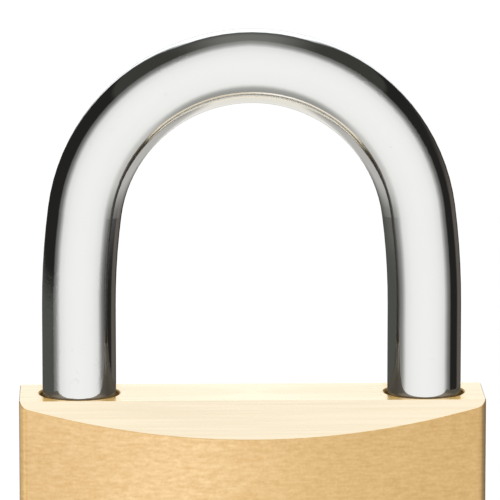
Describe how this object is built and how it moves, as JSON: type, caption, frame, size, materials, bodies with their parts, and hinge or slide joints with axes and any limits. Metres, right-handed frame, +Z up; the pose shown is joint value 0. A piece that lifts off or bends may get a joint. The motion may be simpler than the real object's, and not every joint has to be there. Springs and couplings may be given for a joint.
{
  "type": "padlock",
  "caption": "Solid brass keyed padlock: its round chromed shackle lifts once the turned plug's cam has drawn back the sprung bolts.",
  "frame": {"origin": "middle of the body's bottom face, where the plug's axis meets it", "axes": "+Z up along the shackle's legs, X along the body's width with the long (heel) leg at -X, the front face looks towards -Y"},
  "size_m": [0.0506, 0.0164, 0.0818],
  "materials": {
    "body_brass": "brushed along the width, polished top",
    "cap_brass": "brushed flush with the body",
    "plug_brass": "turned and polished",
    "pin_brass": "turned",
    "chrome": "bright plated",
    "steel": "ground",
    "spring_steel": "drawn wire"
  },
  "bodies": {
    "body": {"lock_body": "body_brass", "channel_plug": "cap_brass", "shackle_retaining_pin": "steel", "plug_retaining_pin": "steel", "shackle_spring": "spring_steel", "chamber_cap_1": "cap_brass", "chamber_cap_2": "cap_brass", "chamber_cap_3": "cap_brass", "chamber_cap_4": "cap_brass", "chamber_cap_5": "cap_brass", "driver_spring_1": "spring_steel", "driver_spring_2": "spring_steel", "driver_spring_3": "spring_steel", "driver_spring_4": "spring_steel", "driver_spring_5": "spring_steel"},
    "shackle": {"shackle": "chrome"},
    "plug": {"plug_core": "plug_brass", "cam": "steel"},
    "heel_bolt": {"heel_bolt": "steel", "bolt_spring_back": "spring_steel"},
    "toe_bolt": {"toe_bolt": "steel", "bolt_spring_front": "spring_steel"},
    "key_pin_1": {"key_pin_1": "pin_brass"},
    "driver_pin_1": {"driver_pin_1": "pin_brass"},
    "key_pin_2": {"key_pin_2": "pin_brass"},
    "driver_pin_2": {"driver_pin_2": "pin_brass"},
    "key_pin_3": {"key_pin_3": "pin_brass"},
    "driver_pin_3": {"driver_pin_3": "pin_brass"},
    "key_pin_4": {"key_pin_4": "pin_brass"},
    "driver_pin_4": {"driver_pin_4": "pin_brass"},
    "key_pin_5": {"key_pin_5": "pin_brass"},
    "driver_pin_5": {"driver_pin_5": "pin_brass"}
  },
  "joints": [
    {"name": "shackle_lift", "type": "slide", "parent": "body", "child": "shackle", "axis": [0, 0, 1], "range_m": [0, 0.014], "deforming": ["shackle_spring"]},
    {"name": "plug_turn", "type": "hinge", "parent": "body", "child": "plug", "pos_m": [0, 0, 0], "axis": [0, 0, -1], "range_deg": [0, 90]},
    {"name": "heel_bolt_slide", "type": "slide", "parent": "body", "child": "heel_bolt", "axis": [-1, 0, 0], "range_m": [0, 0.00212], "deforming": ["bolt_spring_back"]},
    {"name": "toe_bolt_slide", "type": "slide", "parent": "body", "child": "toe_bolt", "axis": [1, 0, 0], "range_m": [0, 0.00212], "deforming": ["bolt_spring_front"]},
    {"name": "key_pin_1_slide", "type": "slide", "parent": "plug", "child": "key_pin_1", "axis": [0, -1, 0], "range_m": [0, 0.00165]},
    {"name": "key_pin_2_slide", "type": "slide", "parent": "plug", "child": "key_pin_2", "axis": [0, -1, 0], "range_m": [0, 0.00075]},
    {"name": "key_pin_3_slide", "type": "slide", "parent": "plug", "child": "key_pin_3", "axis": [0, -1, 0], "range_m": [0, 0.00215]},
    {"name": "key_pin_4_slide", "type": "slide", "parent": "plug", "child": "key_pin_4", "axis": [0, -1, 0], "range_m": [0, 0.00115]},
    {"name": "key_pin_5_slide", "type": "slide", "parent": "plug", "child": "key_pin_5", "axis": [0, -1, 0], "range_m": [0, 0.00195]},
    {"name": "driver_pin_1_slide", "type": "slide", "parent": "body", "child": "driver_pin_1", "axis": [1, 0, 0], "range_m": [0, 0.002], "stiffness_N_per_m": 100, "springref_m": -0.004, "deforming": ["driver_spring_1"]},
    {"name": "driver_pin_2_slide", "type": "slide", "parent": "body", "child": "driver_pin_2", "axis": [1, 0, 0], "range_m": [0, 0.002], "stiffness_N_per_m": 100, "springref_m": -0.004, "deforming": ["driver_spring_2"]},
    {"name": "driver_pin_3_slide", "type": "slide", "parent": "body", "child": "driver_pin_3", "axis": [1, 0, 0], "range_m": [0, 0.002], "stiffness_N_per_m": 100, "springref_m": -0.004, "deforming": ["driver_spring_3"]},
    {"name": "driver_pin_4_slide", "type": "slide", "parent": "body", "child": "driver_pin_4", "axis": [1, 0, 0], "range_m": [0, 0.002], "stiffness_N_per_m": 100, "springref_m": -0.004, "deforming": ["driver_spring_4"]},
    {"name": "driver_pin_5_slide", "type": "slide", "parent": "body", "child": "driver_pin_5", "axis": [1, 0, 0], "range_m": [0, 0.002], "stiffness_N_per_m": 100, "springref_m": -0.004, "deforming": ["driver_spring_5"]}
  ],
  "couplings": [
    {"joint": "heel_bolt_slide", "follows": "plug_turn", "m_per_rad": 0.0013495},
    {"joint": "toe_bolt_slide", "follows": "plug_turn", "m_per_rad": 0.0013495}
  ]
}
